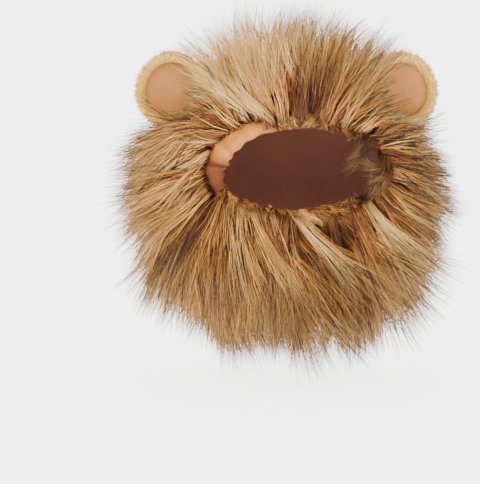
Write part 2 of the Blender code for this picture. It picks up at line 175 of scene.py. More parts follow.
# Creases in the hair under the chin, as places in the photograph, in pixels: strands from above
# end at them
CREASES = (
    ((308, 222), (326, 228), (335, 243), (338, 262), (346, 286)),
    ((311, 258), (314, 280), (321, 294), (332, 300)),
    ((235, 252), (243, 273)),
    ((273, 288), (283, 304), (292, 322)),
)
CREASE_WIDTH = 0.0022
CREASE_DEPTH = 0.040
CREASE_SPREAD = 0.0045
# Hair rooted at a crease, by how much less, and hair cut short by one. The lower tone at a crease
# is painted shade in the crease
AT_CREASE = {"length": 0.45, "loose": 0.6, "tone": 0.4, "density": 0.8}
CUT_RISE = 0.15
CUT_LOOSE = 0.55
GUIDE_DEGREES = 1.5
GUIDE_ROWS = 60

# How many strands have dark tips, by angle round the hood
DARK_TIPS = np.array((
    (-90.0, 0.30),
    (-50.0, 0.40),
    (-10.0, 0.46),
    (30.0, 0.40),
    (60.0, 0.30),
    (90.0, 0.14),
    (110.0, 0.10),
    (140.0, 0.24),
    (180.0, 0.28),
    (230.0, 0.30),
    (270.0, 0.30),
))

# The fur in pieces: name, angles, shares and number of strands
REGION_COLUMNS = ("name", "start", "end", "first", "last", "strands", "segments")
REGIONS = (
    ("fur_crown", 38.0, 142.0, 0.0, 0.60, 7800, 4),
    ("fur_right", -38.0, 38.0, 0.0, 0.60, 6700, 4),
    ("fur_left", 142.0, 218.0, 0.0, 0.60, 6700, 4),
    ("fur_beard", 218.0, 322.0, 0.0, 0.60, 7600, 4),
    ("fur_chin", 215.0, 325.0, 0.60, 1.0, 4400, 4),
    ("fur_nape", -35.0, 215.0, 0.60, 1.0, 6200, 3),
)

# Strands of the mane
LONG_HAIR = {
    "Lock Density": 3600.0,
    "Lock Pull": 0.34,
    "Tuft Density": 34000.0,
    "Tuft Pull": 0.66,
    "Root Radius": 0.00032,
    "Segments": 4,
    "Wave": 0.0040,
    "Spread": 0.55,
    "Length Spread": 0.20,
    "Tone Spread": 0.70,
}
# The mane's tone, how it drifts, and how much darker it is at the nape and beside the face
MANE_TONE = 0.46
TONE_DRIFT = 0.010
NAPE_DARKER = 0.10
FACE_DARKER = 0.12

# Cloth walls, bands and the hair over the face band, as angles round the band's tube
WALL_ROWS = 24
WALL_SIDES = 96
BAND_STEPS = 216
BAND_SIDES = 20
BAND_PUCKER = 0.16
BAND_GATHERS = 24
BAND_COVER = (150.0, 120.0, 95.0, 65.0)
EDGE_TURNS = (60.0, 90.0, 120.0, 150.0)
# Hair over the band by angle: length, lean round the opening, lean into it, and tone
EDGE_COLUMNS = ("angle", "length", "round", "inward", "tone")
EDGE_HAIR = np.array((
    (-150.0, 0.010, 0.3, -0.6, 0.32),
    (-120.0, 0.015, 0.2, -0.7, 0.38),
    (-80.0, 0.017, 0.2, -0.7, 0.38),
    (-50.0, 0.017, 0.2, -0.1, 0.22),
    (-28.0, 0.027, 0.2, 0.7, 0.06),
    (10.0, 0.031, 0.0, 0.8, 0.04),
    (32.0, 0.024, -0.2, 0.8, 0.05),
    (50.0, 0.016, -0.2, 0.1, 0.10),
    (80.0, 0.013, -0.2, -0.5, 0.20),
    (102.0, 0.008, 0.0, -0.6, 0.24),
))
ROLL_BULGE = 1.25
ROLL_ANGLE = 161.0
ROLL_SPREAD = 47.0
PLUSH_LENGTH = 0.0022
PLUSH = {
    "Lock Density": 20000.0,
    "Lock Pull": 0.2,
    "Tuft Density": 90000.0,
    "Tuft Pull": 0.3,
    "Root Radius": 0.00030,
    "Segments": 2,
    "Wave": 0.0002,
    "Spread": 0.5,
    "Length Spread": 0.4,
    "Tone Spread": 0.25,
}

# Ears, as the part builds them
EAR_RADIUS = 0.0275
EAR_SINK = 0.0165
EAR_ANGLE = 39.0
EAR_SHARE = 0.50
EAR_TURN = 14.0
EAR_RIM_WIDTH = 0.0070
EAR_WALL = 0.0030
EAR_CUP_DEPTH = 0.0060
EAR_PAD_THICKNESS = 0.0030
EAR_STEPS = 40
EAR_CURL = 0.0030
EAR_COVER = 0.012
EAR_COVER_LOW = 0.001
RIM_START = -50.0
RIM_END = 150.0
CUP_BACK = ((0.00, 1.00), (0.45, 0.93), (0.75, 0.75))
CUP_DISH = ((0.72, 0.45), (0.45, 0.90), (0.00, 1.00))

# Linear colours
FUR_TONES = (
    (0.00, (0.080, 0.024, 0.008)),
    (0.20, (0.23, 0.075, 0.018)),
    (0.40, (0.47, 0.180, 0.038)),
    (0.60, (0.68, 0.300, 0.066)),
    (0.80, (0.84, 0.450, 0.120)),
    (1.00, (0.93, 0.640, 0.250)),
)
FUR_ROOT = (0.12, 0.038, 0.011)
FUR_LIGHT_TIP = (0.93, 0.58, 0.15)
FUR_DARK_TIP = (0.042, 0.020, 0.011)
YELLOW_TONES = ((0.0, (0.80, 0.46, 0.09)), (0.5, (0.90, 0.58, 0.13)), (1.0, (0.95, 0.68, 0.20)))
YELLOW_ROOT = (0.80, 0.48, 0.10)
FELT_DARK = (0.40, 0.150, 0.042)
FELT_LIGHT = (0.60, 0.27, 0.085)
ROLL_LIGHT = (0.60, 0.235, 0.048)
ROLL_DARK = (0.38, 0.135, 0.030)
ROLL_LOW = (0.115, 0.034, 0.015)
BAND_BROWN = (0.11, 0.040, 0.018)
BACKING_DARK = (0.10, 0.04, 0.02)
BACKING_LIGHT = (0.20, 0.09, 0.04)
LINING_DARK = (0.115, 0.043, 0.026)
LINING_LIGHT = (0.14, 0.054, 0.034)


def named(columns, row):
    return dict(zip(columns, row))


def column(table, columns, name, value):
    """One column of a table at values of its first column."""
    return np.interp(value, table[:, 0], table[:, columns.index(name)])


def section(name, share):
    return column(SECTIONS, SECTION_COLUMNS, name, share)


def apart(degrees, other):
    return (degrees - other + 180.0) % 360.0 - 180.0


def unit(vectors):
    return vectors / np.maximum(np.linalg.norm(vectors, axis=-1, keepdims=True), 1e-9)


def raw_point(degrees, share):
    """Points on the hood's inside, measured from the middle of the face opening."""
    turn = np.radians(degrees)
    power = 2 / OVAL_POWER
    across = np.sign(np.cos(turn)) * np.abs(np.cos(turn)) ** power
    up = np.sign(np.sin(turn)) * np.abs(np.sin(turn)) ** power
    mouth, hood, neck = (section(name, share) for name in ("mouth", "hood", "neck"))
    mouth_edge = FACE_BAND_WIDTH + SEAT_GAP
    neck_edge = NECK_BAND_WIDTH + SEAT_GAP
    across = across * (
        mouth * (MOUTH_WIDTH / 2 + mouth_edge)
        + hood * HOOD_WIDTH / 2
        + neck * (NECK_WIDTH / 2 + neck_edge)
    )
    up = up * (
        mouth * (MOUTH_HEIGHT / 2 + mouth_edge)
        + hood * HOOD_HEIGHT / 2
        + neck * (NECK_HEIGHT / 2 + neck_edge)
    )
    tilt = NECK_TILT * section("tilt", share)
    return np.stack((
        across + MOUTH_SHIFT * mouth,
        HOOD_DEPTH * section("depth", share) + up * np.sin(tilt),
        up * np.cos(tilt) - NECK_DROP * section("drop", share),
    ), axis=-1)


CROWN_SEAT = raw_point(np.array(90.0), np.array(CROWN_SHARE))


def frame_at(degrees, share):
    """The hood's outward normals and its directions to the neck."""
    after = raw_point(degrees, np.minimum(share + 0.02, 1.0))
    along = after - raw_point(degrees, np.maximum(share - 0.02, 0.0))
    around = raw_point(degrees + 7.5, share) - raw_point(degrees - 7.5, share)
    return unit(np.cross(along, around)), unit(along)


def hood_point(degrees, share, offset):
    normal, _ = frame_at(degrees, share)
    ripple = GATHER_DEPTH * section("gather", share) * np.cos(np.radians(GATHER_COUNT * degrees))
    out = (np.asarray(offset) + ripple)[..., None]
    return raw_point(degrees, share) - CROWN_SEAT + normal * out


def patch_sum(name, degrees, share):
    """The sum of one column of the patches at each place."""
    total = np.zeros(np.broadcast(degrees, share).shape)
    for row in PATCHES:
        patch = named(PATCH_COLUMNS, row)
        away = apart(degrees, patch["angle"]) / patch["spread"]
        beyond = (share - patch["share"]) / patch["reach"]
        total += patch[name] * np.exp(-(away**2) - beyond**2)
    return total


def drift(degrees, share, shift=0.0):
    """A slow wave over the hood, in degrees."""
    total = np.zeros(np.broadcast(degrees, share).shape)
    for row in DRIFTS:
        wave = named(DRIFT_COLUMNS, row)
        phase = np.radians(wave["around"] * degrees + wave["phase"] + shift * wave["around"])
        total += wave["turn"] * np.sin(phase + math.tau * wave["along"] * share)
    return total


def photo_place(pixel):
    """A photo pixel as (x, z) in the front plane."""
    x = OPENING_MIDDLE.x + (pixel[0] - WIG_PIXEL[0]) * SCALE
    z = OPENING_MIDDLE.z + (WIG_PIXEL[1] - pixel[1]) * SCALE
    z += CREASE_DEPTH * math.tan(ELEVATION)
    return np.array((x, z))


def crease_distance(spots):
    """How far places are from the nearest crease, seen from the front."""
    flat = spots[..., (0, 2)]
    nearest = np.full(flat.shape[:-1], 1.0)
    for line in CREASES:
        corners = [photo_place(pixel) for pixel in line]
        for first, last in zip(corners, corners[1:]):
            way = last - first
            along = np.clip((flat - first) @ way / (way @ way), 0.0, 1.0)
            away = np.linalg.norm(flat - first - along[..., None] * way, axis=-1)
            nearest = np.minimum(nearest, away)
    return nearest


def up_to_crease(root, rise, fall):
    """The share of its length that a strand keeps where it runs into a crease, and how near to
    a crease its root is."""
    keep = np.ones(root.shape[:-1])
    for step in range(20, 2, -1):
        along = step / 20
        spot = root + rise * (2 * along - along**2) + fall * along**2
        keep = np.where(crease_distance(spot) < CREASE_WIDTH, along, keep)
    at_root = np.exp(-((crease_distance(root + rise * 0.3) / CREASE_SPREAD) ** 2))
    return keep, at_root


def hair_vectors(degrees, share):
    """The rise and the fall of the hair at each place, with its length in both."""
    wrapped = (degrees + 90.0) % 360.0 - 90.0
    heading = np.interp(wrapped, FALLS[:, 0], FALLS[:, 1]) + patch_sum("turn", degrees, share)
    heading = heading + drift(degrees, share)
    heading = np.radians(heading)
    lean = np.interp(wrapped, FALLS[:, 0], FALLS[:, 3])
    normal, along = frame_at(degrees, share)
    rise = column(ROWS, ROW_COLUMNS, "rise", share)[..., None]
    trail = column(ROWS, ROW_COLUMNS, "trail", share)[..., None]
    falling = unit(np.stack((np.cos(heading), lean, np.sin(heading)), axis=-1))
    trailing = unit(along + normal * rise - np.array((0.0, 0.0, TRAIL_FALL)))
    way = unit(falling * (1 - trail) + trailing * trail)
    length = np.interp(wrapped, FALLS[:, 0], FALLS[:, 2])
    length = length * column(ROWS, ROW_COLUMNS, "length", share)
    length = (length * (1 + patch_sum("length", degrees, share)))[..., None]
    return normal * length * rise, way * length * (1 - rise)


class Tree:
    """A node tree built from short calls, for Geometry Nodes and for materials."""

    def __init__(self, tree):
        self.tree = tree

    def add(self, kind, inputs=(), **settings):
        node = self.tree.nodes.new(kind)
        for name, value in settings.items():
            setattr(node, name, value)
        for name, value in dict(inputs).items():
            self.feed(self.socket(node.inputs, name), value)
        return node

    def socket(self, sockets, name):
        if isinstance(name, int):
            return sockets[name]
        return next(one for one in sockets if one.name == name and one.enabled)

    def feed(self, socket, value):
        if isinstance(value, bpy.types.NodeSocket):
            self.tree.links.new(value, socket)
        elif value is not None:
            socket.default_value = value

    def out(self, node, name=None):
        if name is None:
            return next(one for one in node.outputs if one.enabled)
        return self.socket(node.outputs, name)

    def math(self, operation, first, second=None, clamp=False):
        node = self.add("ShaderNodeMath", {0: first, 1: second}, operation=operation)
        node.use_clamp = clamp
        return node.outputs[0]

    def times(self, first, second):
        return self.math("MULTIPLY", first, second)

    def total(self, first, second, clamp=False):
        return self.math("ADD", first, second, clamp)

    def vector(self, operation, first, second=None, scale=None):
        node = self.add("ShaderNodeVectorMath", {0: first}, operation=operation)
        if second is not None:
            self.feed(node.inputs[1], second)
        if scale is not None:
            self.feed(node.inputs["Scale"], scale)
        return node.outputs["Value" if operation in ("DOT_PRODUCT", "LENGTH") else "Vector"]

    def scaled(self, vector, factor):
        return self.vector("SCALE", vector, scale=factor)

    def plus(self, *vectors):
        total = vectors[0]
        for vector in vectors[1:]:
            total = self.vector("ADD", total, vector)
        return total

    def parts(self, vector):
        return self.add("ShaderNodeSeparateXYZ", {0: vector}).outputs

    def joined(self, x, y, z=0.0):
        return self.add("ShaderNodeCombineXYZ", {0: x, 1: y, 2: z}).outputs[0]


def new_tree(name, inputs):
    """A Geometry Nodes tree with named inputs. Returns (tree, input node, identifiers)."""
    group = bpy.data.node_groups.new(name, "GeometryNodeTree")
    group.is_modifier = True
    group.interface.new_socket("Geometry", in_out="INPUT", socket_type="NodeSocketGeometry")
    group.interface.new_socket("Geometry", in_out="OUTPUT", socket_type="NodeSocketGeometry")
    identifiers = {}
    for label, kind, value in inputs:
        socket = group.interface.new_socket(label, in_out="INPUT", socket_type=kind)
        if value is not None:
            socket.default_value = value
        identifiers[label] = socket.identifier
    tree = Tree(group)
    return tree, tree.add("NodeGroupInput"), identifiers


def attribute(tree, name, kind="FLOAT_VECTOR"):
    node = tree.add("GeometryNodeInputNamedAttribute", data_type=kind)
    node.inputs["Name"].default_value = name
    return tree.out(node, "Attribute")


def store(tree, geometry, name, value, kind="FLOAT_VECTOR", domain="POINT"):
    node = tree.add("GeometryNodeStoreNamedAttribute", data_type=kind, domain=domain)
    tree.feed(node.inputs["Geometry"], geometry)
    node.inputs["Name"].default_value = name
    tree.feed(tree.socket(node.inputs, "Value"), value)
    return node.outputs["Geometry"]


def chance(tree, seed, offset):
    """Three even random numbers from 0 to 1 for each point."""
    node = tree.add("FunctionNodeRandomValue", data_type="FLOAT_VECTOR")
    tree.feed(tree.socket(node.inputs, "Seed"), tree.total(seed, offset))
    return tree.out(node)


def strand_tree():
    """Hair on a guide sheet. The sheet's attributes rise and fall give each strand its curve,
    tone its colour and dark its share of dark tips. Strands gather towards clump points."""
    tree, start, identifiers = new_tree("hair strands", (
        ("Density", "NodeSocketFloat", 100000.0),
        ("Lock Density", "NodeSocketFloat", 4000.0),
        ("Lock Pull", "NodeSocketFloat", 0.4),
        ("Tuft Density", "NodeSocketFloat", 26000.0),
        ("Tuft Pull", "NodeSocketFloat", 0.6),
        ("Root Radius", "NodeSocketFloat", 0.0004),
        ("Segments", "NodeSocketInt", 4),
        ("Wave", "NodeSocketFloat", 0.0015),
        ("Spread", "NodeSocketFloat", 0.12),
        ("Length Spread", "NodeSocketFloat", 0.35),
        ("Tone Spread", "NodeSocketFloat", 0.5),
        ("Guard Hairs", "NodeSocketFloat", 0.30),
        ("Seed", "NodeSocketInt", 1),
        ("Material", "NodeSocketMaterial", None),
    ))
    given = start.outputs
    seed = given["Seed"]
    density = tree.times(given["Density"], attribute(tree, "density", "FLOAT"))

    def scattered(density, scatter_seed):
        """Random points on the sheet."""
        return tree.add(
            "GeometryNodeDistributePointsOnFaces",
            {"Mesh": given["Geometry"], "Density": density, "Seed": scatter_seed},
            distribute_method="RANDOM",
        ).outputs["Points"]

    roots = scattered(density, seed)
    place = tree.add("GeometryNodeInputPosition").outputs[0]

    def centres(density_name, offset):
        """Points that strands gather to, each with its own chance."""
        made = scattered(given[density_name], tree.total(seed, offset))
        return store(tree, made, "centre_chance", chance(tree, seed, offset + 1.0))

    def gather(points, centre_points, name, values):
        """Stores values of the nearest centre on each point, and the way to it."""
        nearest = tree.add("GeometryNodeSampleNearest", {"Geometry": centre_points}, domain="POINT")

        def of_nearest(value):
            node = tree.add(
                "GeometryNodeSampleIndex",
                {"Geometry": centre_points, "Index": nearest.outputs[0]},
                data_type="FLOAT_VECTOR",
                domain="POINT",
            )
            tree.feed(tree.socket(node.inputs, "Value"), value)
            return tree.out(node)

        pull = tree.vector("SUBTRACT", of_nearest(place), place)
        points = store(tree, points, f"{name}_pull", pull)
        for label, value in values.items():
            points = store(tree, points, label, of_nearest(attribute(tree, value)))
        return points

    locks = centres("Lock Density", 11.0)
    tufts = centres("Tuft Density", 23.0)
    tufts = gather(tufts, locks, "lock", {"lock_chance": "centre_chance"})
    roots = gather(roots, tufts, "tuft", {
        "tuft_chance": "centre_chance",
        "lock_pull": "lock_pull",
        "lock_chance": "lock_chance",
    })
    roots = store(tree, roots, "own", chance(tree, seed, 3.0))
    roots = store(tree, roots, "more", chance(tree, seed, 5.0))
    roots = store(tree, roots, "root", place)

    cone = tree.add("GeometryNodeMeshCone", {
        "Vertices": 3,
        "Side Segments": given["Segments"],
        "Radius Top": 0.0,
        "Radius Bottom": 1.0,
        "Depth": 1.0,
    }, fill_type="NGON").outputs["Mesh"]
    cone = store(tree, cone, "local", place)
    hair = tree.add("GeometryNodeInstanceOnPoints", {"Points": roots, "Instance": cone})
    hair = tree.add("GeometryNodeRealizeInstances", {"Geometry": hair.outputs[0]}).outputs[0]

    local = tree.parts(attribute(tree, "local"))
    along = local[2]
    squared = tree.times(along, along)
    own = tree.parts(attribute(tree, "own"))
    more = tree.parts(attribute(tree, "more"))
    tuft = tree.parts(attribute(tree, "tuft_chance"))
    lock = tree.parts(attribute(tree, "lock_chance"))
    rise, fall = attribute(tree, "rise"), attribute(tree, "fall")

    def centred(number):
        return tree.math("SUBTRACT", number, 0.5)

    loose = attribute(tree, "loose", "FLOAT")

    # Length: some of it by the lock, and some by the tuft and the strand
    longer = tree.total(centred(own[0]), centred(lock[0]))
    longer = tree.total(longer, tree.times(centred(tuft[0]), 0.6))
    longer = tree.times(longer, loose)
    length = tree.total(0.96, tree.times(longer, given["Length Spread"]))
    dark = attribute(tree, "dark", "FLOAT")
    dark_tip = tree.math("LESS_THAN", more[1], dark)
    guard = tree.math("LESS_THAN", more[1], tree.times(dark, given["Guard Hairs"]))
    kind = tree.total(dark_tip, guard)
    length = tree.total(length, tree.times(guard, 0.10))
    across = tree.plus(tree.vector("CROSS_PRODUCT", rise, fall), (1e-9, 2e-9, 3e-9))
    across = tree.vector("NORMALIZE", tree.scaled(across, 1e5))
    rising = tree.math("SUBTRACT", tree.times(along, 2.0), squared)
    core = tree.plus(tree.scaled(rise, rising), tree.scaled(fall, squared))
    way = tree.plus(
        tree.scaled(rise, tree.math("SUBTRACT", 1.0, along)),
        tree.scaled(fall, along),
    )
    reach = tree.vector("LENGTH", tree.plus(rise, fall))
    way = tree.vector("NORMALIZE", way)
    flat = tree.vector("NORMALIZE", tree.vector("CROSS_PRODUCT", way, across))

    # Spread: each lock, tuft and strand turns a little to one side and up or down
    def aside(lock_number, tuft_number, own_number):
        turned = tree.total(centred(lock_number), centred(tuft_number))
        turned = tree.total(turned, tree.times(centred(own_number), 0.5))
        turned = tree.times(tree.times(turned, loose), given["Spread"])
        return tree.times(tree.times(turned, reach), squared)

    spread = tree.plus(
        tree.scaled(across, aside(lock[1], tuft[1], own[1])),
        tree.scaled(flat, tree.times(aside(lock[2], tuft[2], own[2]), 0.45)),
    )
    tuft_pull = tree.times(tree.math("POWER", along, 0.8), given["Tuft Pull"])
    lock_pull = tree.times(tree.math("POWER", along, 1.4), given["Lock Pull"])
    pull = tree.scaled(tree.plus(
        tree.scaled(attribute(tree, "tuft_pull"), tuft_pull),
        tree.scaled(attribute(tree, "lock_pull"), lock_pull),
    ), loose)

    # Wave: a slow bend that a tuft shares, and one of the strand's own
    def swing(number, turns, size):
        angle = tree.total(tree.times(along, turns), number)
        size = tree.times(tree.times(along, size), given["Wave"])
        size = tree.times(size, loose)
        return (
            tree.scaled(across, tree.times(tree.math("SINE", angle), size)),
            tree.scaled(flat, tree.times(tree.math("COSINE", angle), size)),
        )

    own_phase = tree.times(more[0], math.tau)
    tuft_phase = tree.times(tuft[0], math.tau)
    own_turns = tree.total(3.0, tree.times(more[1], 4.0))
    tuft_turns = tree.total(3.0, tree.times(tuft[1], 3.0))
    wave = tree.plus(*swing(own_phase, own_turns, 0.6), *swing(tuft_phase, tuft_turns, 1.0))
    thick = tree.times(given["Root Radius"], tree.total(0.7, more[2]))
    thick = tree.times(thick, tree.total(1.0, tree.times(kind, tree.times(along, 1.2))))
    ring = tree.plus(
        tree.scaled(across, tree.times(local[0], thick)),
        tree.scaled(flat, tree.times(local[1], thick)),
    )
    spot = tree.plus(
        attribute(tree, "root"), tree.scaled(core, length), spread, pull, wave, ring
    )

    # The colour map: across it the tone, and up it three kinds of strand from root to tip
    tone = tree.total(centred(tuft[1]), centred(own[0]))
    tone = tree.total(tone, tree.times(centred(lock[2]), 0.6))
    tone = tree.times(tone, given["Tone Spread"])
    tone = tree.total(attribute(tree, "tone", "FLOAT"), tone, clamp=True)
    edge = tree.times(local[0], 0.006)
    tone = tree.total(tree.times(tone, 0.96), 0.02)
    height = tree.total(tree.times(along, 0.9), 0.05)
    height = tree.math("DIVIDE", tree.total(kind, height), 3.0)
    hair = tree.add("GeometryNodeSetPosition", {"Geometry": hair, "Position": spot}).outputs[0]
    spot_map = tree.joined(tree.total(tone, edge), height)
    hair = store(tree, hair, "OFBake", spot_map, "FLOAT2", "CORNER")
    hair = tree.add("GeometryNodeSetMaterial", {"Geometry": hair, "Material": given["Material"]})
    tree.add("NodeGroupOutput", {0: hair.outputs[0]})
    return tree.tree, identifiers


def placed(name, data):
    """A new object in the scene."""
    made = bpy.data.objects.new(name, data)
    bpy.context.scene.collection.objects.link(made)
    return made


def sheet_object(name, points, faces, values):
    """A mesh with attributes on its points."""
    mesh = bpy.data.meshes.new(name)
    mesh.from_pydata(points.tolist(), [], faces)
    for label, value in values.items():
        kind = "FLOAT_VECTOR" if value.ndim == 2 else "FLOAT"
        layer = mesh.attributes.new(label, kind, "POINT")
        layer.data.foreach_set("vector" if value.ndim == 2 else "value", value.ravel())
    return placed(name, mesh)


def grid_faces(rows, sides, closed, joined=False):
    """Faces of a grid of points, row by row. Joined, its last row meets its first."""
    faces = []
    for row in range(rows if joined else rows - 1):
        low, high = row * sides, (row + 1) % rows * sides
        for side in range(sides if closed else sides - 1):
            beside = (side + 1) % sides
            faces.append((low + side, low + beside, high + beside, high + side))
    return faces


def sheet_area(points, faces):
    corners = points[np.array(faces)]
    first = np.cross(corners[:, 1] - corners[:, 0], corners[:, 2] - corners[:, 0])
    second = np.cross(corners[:, 2] - corners[:, 0], corners[:, 3] - corners[:, 0])
    return (np.linalg.norm(first, axis=1) + np.linalg.norm(second, axis=1)) / 2


def grown(guide, tree, inputs):
    """The plain mesh that a strand tree makes on a guide sheet. The sheet is removed."""
    group, identifiers = tree
    change = guide.modifiers.new("strands", "NODES")
    change.node_group = group
    for label, value in inputs.items():
        change[identifiers[label]] = value
    bpy.context.view_layer.update()
    graph = bpy.context.evaluated_depsgraph_get()
    mesh = bpy.data.meshes.new_from_object(guide.evaluated_get(graph))
    for label in [layer.name for layer in mesh.attributes]:
        layer = mesh.attributes[label]
        if label != "OFBake" and not layer.is_internal and not layer.is_required:
            mesh.attributes.remove(layer)
    name = guide.name
    bpy.data.objects.remove(guide)
    return placed(name, mesh)


# Pieces of cloth

def finished(name, points, faces, finish):
    """A plain piece with its material, its normals outwards, riding on the wig."""
    mesh = bpy.data.meshes.new(name)
    mesh.from_pydata(np.asarray(points).tolist(), [], faces)
    work = bmesh.new()
    work.from_mesh(mesh)
    bmesh.ops.recalc_face_normals(work, faces=work.faces)
    work.to_mesh(mesh)
    work.free()
    mesh.polygons.foreach_set("use_smooth", [True] * len(mesh.polygons))
    return dressed(placed(name, mesh), finish)


def dressed(made, finish):
    """Gives a piece its material and its slot, and lets it ride on the wig."""
    made.data.materials.clear()
    made.data.materials.append(finish)
    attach(made, "root")
    return made


def hood_wall(name, inside, outside, finish):
    """A closed cloth wall round the hood between two offsets, with its area on one side."""
    rows, sides = WALL_ROWS, WALL_SIDES
    degrees, share = np.meshgrid(
        np.arange(sides) * 360.0 / sides, np.linspace(0.0, 1.0, rows)
    )
    inner = hood_point(degrees, share, np.full(degrees.shape, inside)).reshape(-1, 3)
    outer = hood_point(degrees, share, np.full(degrees.shape, outside)).reshape(-1, 3)
    half = rows * sides
    sheet = grid_faces(rows, sides, True)
    faces = sheet + [tuple(half + point for point in face) for face in sheet]
    for first in (0, half - sides):
        for side in range(sides):
            low, beside = first + side, first + (side + 1) % sides
            faces.append((low, beside, half + beside, half + low))
    made = finished(name, np.concatenate((inner, outer)), faces, finish)
    return made, float(sheet_area(outer, sheet).sum())


def roll_share(degrees):
    return np.exp(-((apart(degrees, ROLL_ANGLE) / ROLL_SPREAD) ** 2))


def band_points(degrees, turn, share, way, width, bulge, pucker, gathers, grown=0.0):
    """Points on a gathered tube beyond the cloth's edge, with the tube's own normals."""
    middle = (CLOTH_OUTSIDE + LINING_THICKNESS) / 2
    roll = 1 + bulge * roll_share(degrees)
    fold = 1 - pucker * (1 - np.cos(np.radians(gathers * degrees))) / 2
    radius = width / 2 * roll * fold + grown
    normal, along = frame_at(degrees, share)
    centre = hood_point(degrees, share, np.full(degrees.shape, middle))
    centre = centre + along * (way * (width / 2 * roll + SEAT_GAP))[..., None]
    turn = np.radians(turn)[..., None]
    out = along * np.cos(turn) + normal * np.sin(turn)
    return centre + out * radius[..., None], out


def band(name, share, way, width, bulge, finish):
    degrees, turn = np.meshgrid(
        np.arange(BAND_STEPS) * 360.0 / BAND_STEPS,
        np.arange(BAND_SIDES) * 360.0 / BAND_SIDES,
        indexing="ij",
    )
    share = np.full(degrees.shape, share)
    points, _ = band_points(degrees, turn, share, way, width, bulge, BAND_PUCKER, BAND_GATHERS)
    faces = grid_faces(BAND_STEPS, BAND_SIDES, True, True)
    made = finished(name, points.reshape(-1, 3), faces, finish)
    shown = made.data.attributes.new("shown", "FLOAT", "POINT")
    shown.data.foreach_set("value", (roll_share(degrees) * (bulge > 0)).ravel())
    low = made.data.attributes.new("low", "FLOAT", "POINT")
    low.data.foreach_set("value", np.clip((degrees - 154.0) / 20.0, 0.0, 0.95).ravel())
    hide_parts(name.replace("_casing", "_band"))
    return made


def pile(name, points, faces, values, inputs, tree, finish):
    """Strands on a guide sheet, as many as the inputs say."""
    inputs = dict(inputs)
    strands = inputs.pop("strands")
    weight = values["density"][np.array(faces)].mean(axis=1)
    inputs["Density"] = strands / float((sheet_area(points, faces) * weight).sum())
    inputs["Material"] = finish
    guide = sheet_object(name, points, faces, values)
    return dressed(grown(guide, tree, inputs), finish)


# The ears

def ear_angle(side):
    return EAR_ANGLE if side > 0 else 180.0 - EAR_ANGLE


def ear_matrix(side):
    """Where an ear stands: its middle, with X across it, Y up it and Z out of its front."""
    degrees = np.array(ear_angle(side))
    up = Vector(frame_at(degrees, np.array(EAR_SHARE))[0])
    seat = Vector(hood_point(degrees, np.array(EAR_SHARE), CLOTH_OUTSIDE + PILE_DEPTH))
    turn = math.radians(EAR_TURN)
    front = Vector((side * math.sin(turn), -math.cos(turn), 0.0))
    front = (front - up * front.dot(up)).normalized()
    middle = seat + up * (EAR_RADIUS - EAR_SINK)
    turned = Matrix((up.cross(front), up, front)).transposed().to_4x4()
    return Matrix.Translation(middle) @ turned


def cup_points(table, depth, raised):
    return [(EAR_RADIUS * radius, raised - depth * height) for radius, height in table]


def rim_points(end, steps):
    """Points round an ear's rim from its back to an angle."""
    rim = EAR_RIM_WIDTH / 2
    turns = [math.radians(RIM_START + (end - RIM_START) * i / steps) for i in range(steps + 1)]
    return [(EAR_RADIUS - rim + rim * math.cos(a), rim * math.sin(a)) for a in turns]


def shell_profile():
    back = cup_points(CUP_BACK, EAR_CUP_DEPTH, 0.0)
    dish = cup_points(CUP_DISH, EAR_CUP_DEPTH - EAR_WALL, 0.0)
    return [*back, *rim_points(RIM_END, 10), *dish]


def pad_profile():
    under = cup_points(CUP_DISH, EAR_CUP_DEPTH - EAR_WALL, SEAT_GAP)
    edge = (under[0][0], under[0][1] + EAR_PAD_THICKNESS * 0.6)
    over = cup_points(CUP_DISH[1:], EAR_CUP_DEPTH - EAR_WALL, SEAT_GAP + EAR_PAD_THICKNESS)
    return [*under[::-1], edge, *over]


def turned(profile, matrix, fold):
    """A closed profile of (radius, height) turned about Z, with its poles closed.
    Returns its points, its faces and the way out from its middle at each point."""
    steps = EAR_STEPS
    points = [(0.0, 0.0, profile[0][1])]
    for radius, height in profile[1:-1]:
        for step in range(steps):
            turn = math.tau * step / steps
            points.append((radius * math.cos(turn), radius * math.sin(turn), height))
    points.append((0.0, 0.0, profile[-1][1]))
    rings = len(profile) - 2
    faces = []
    for step in range(steps):
        beside = (step + 1) % steps
        faces.append((0, 1 + beside, 1 + step))
        for ring in range(rings - 1):
            low, high = 1 + ring * steps, 1 + (ring + 1) * steps
            faces.append((low + step, low + beside, high + beside, high + step))
        low = 1 + (rings - 1) * steps
        faces.append((low + step, low + beside, len(points) - 1))
    spots = np.array(points)
    spots[:, 2] += fold(spots)
    turn = np.array(matrix.to_3x3())
    return spots @ turn.T + np.array(matrix.translation), faces, spots


def ear_fold(spots):
    """A soft curl of the ear's sides towards the front."""
    across = spots[:, 0] / EAR_RADIUS
    up = spots[:, 1] / EAR_RADIUS
    return EAR_CURL * across**2 - EAR_CURL * 0.4 * np.maximum(-up, 0.0) ** 2


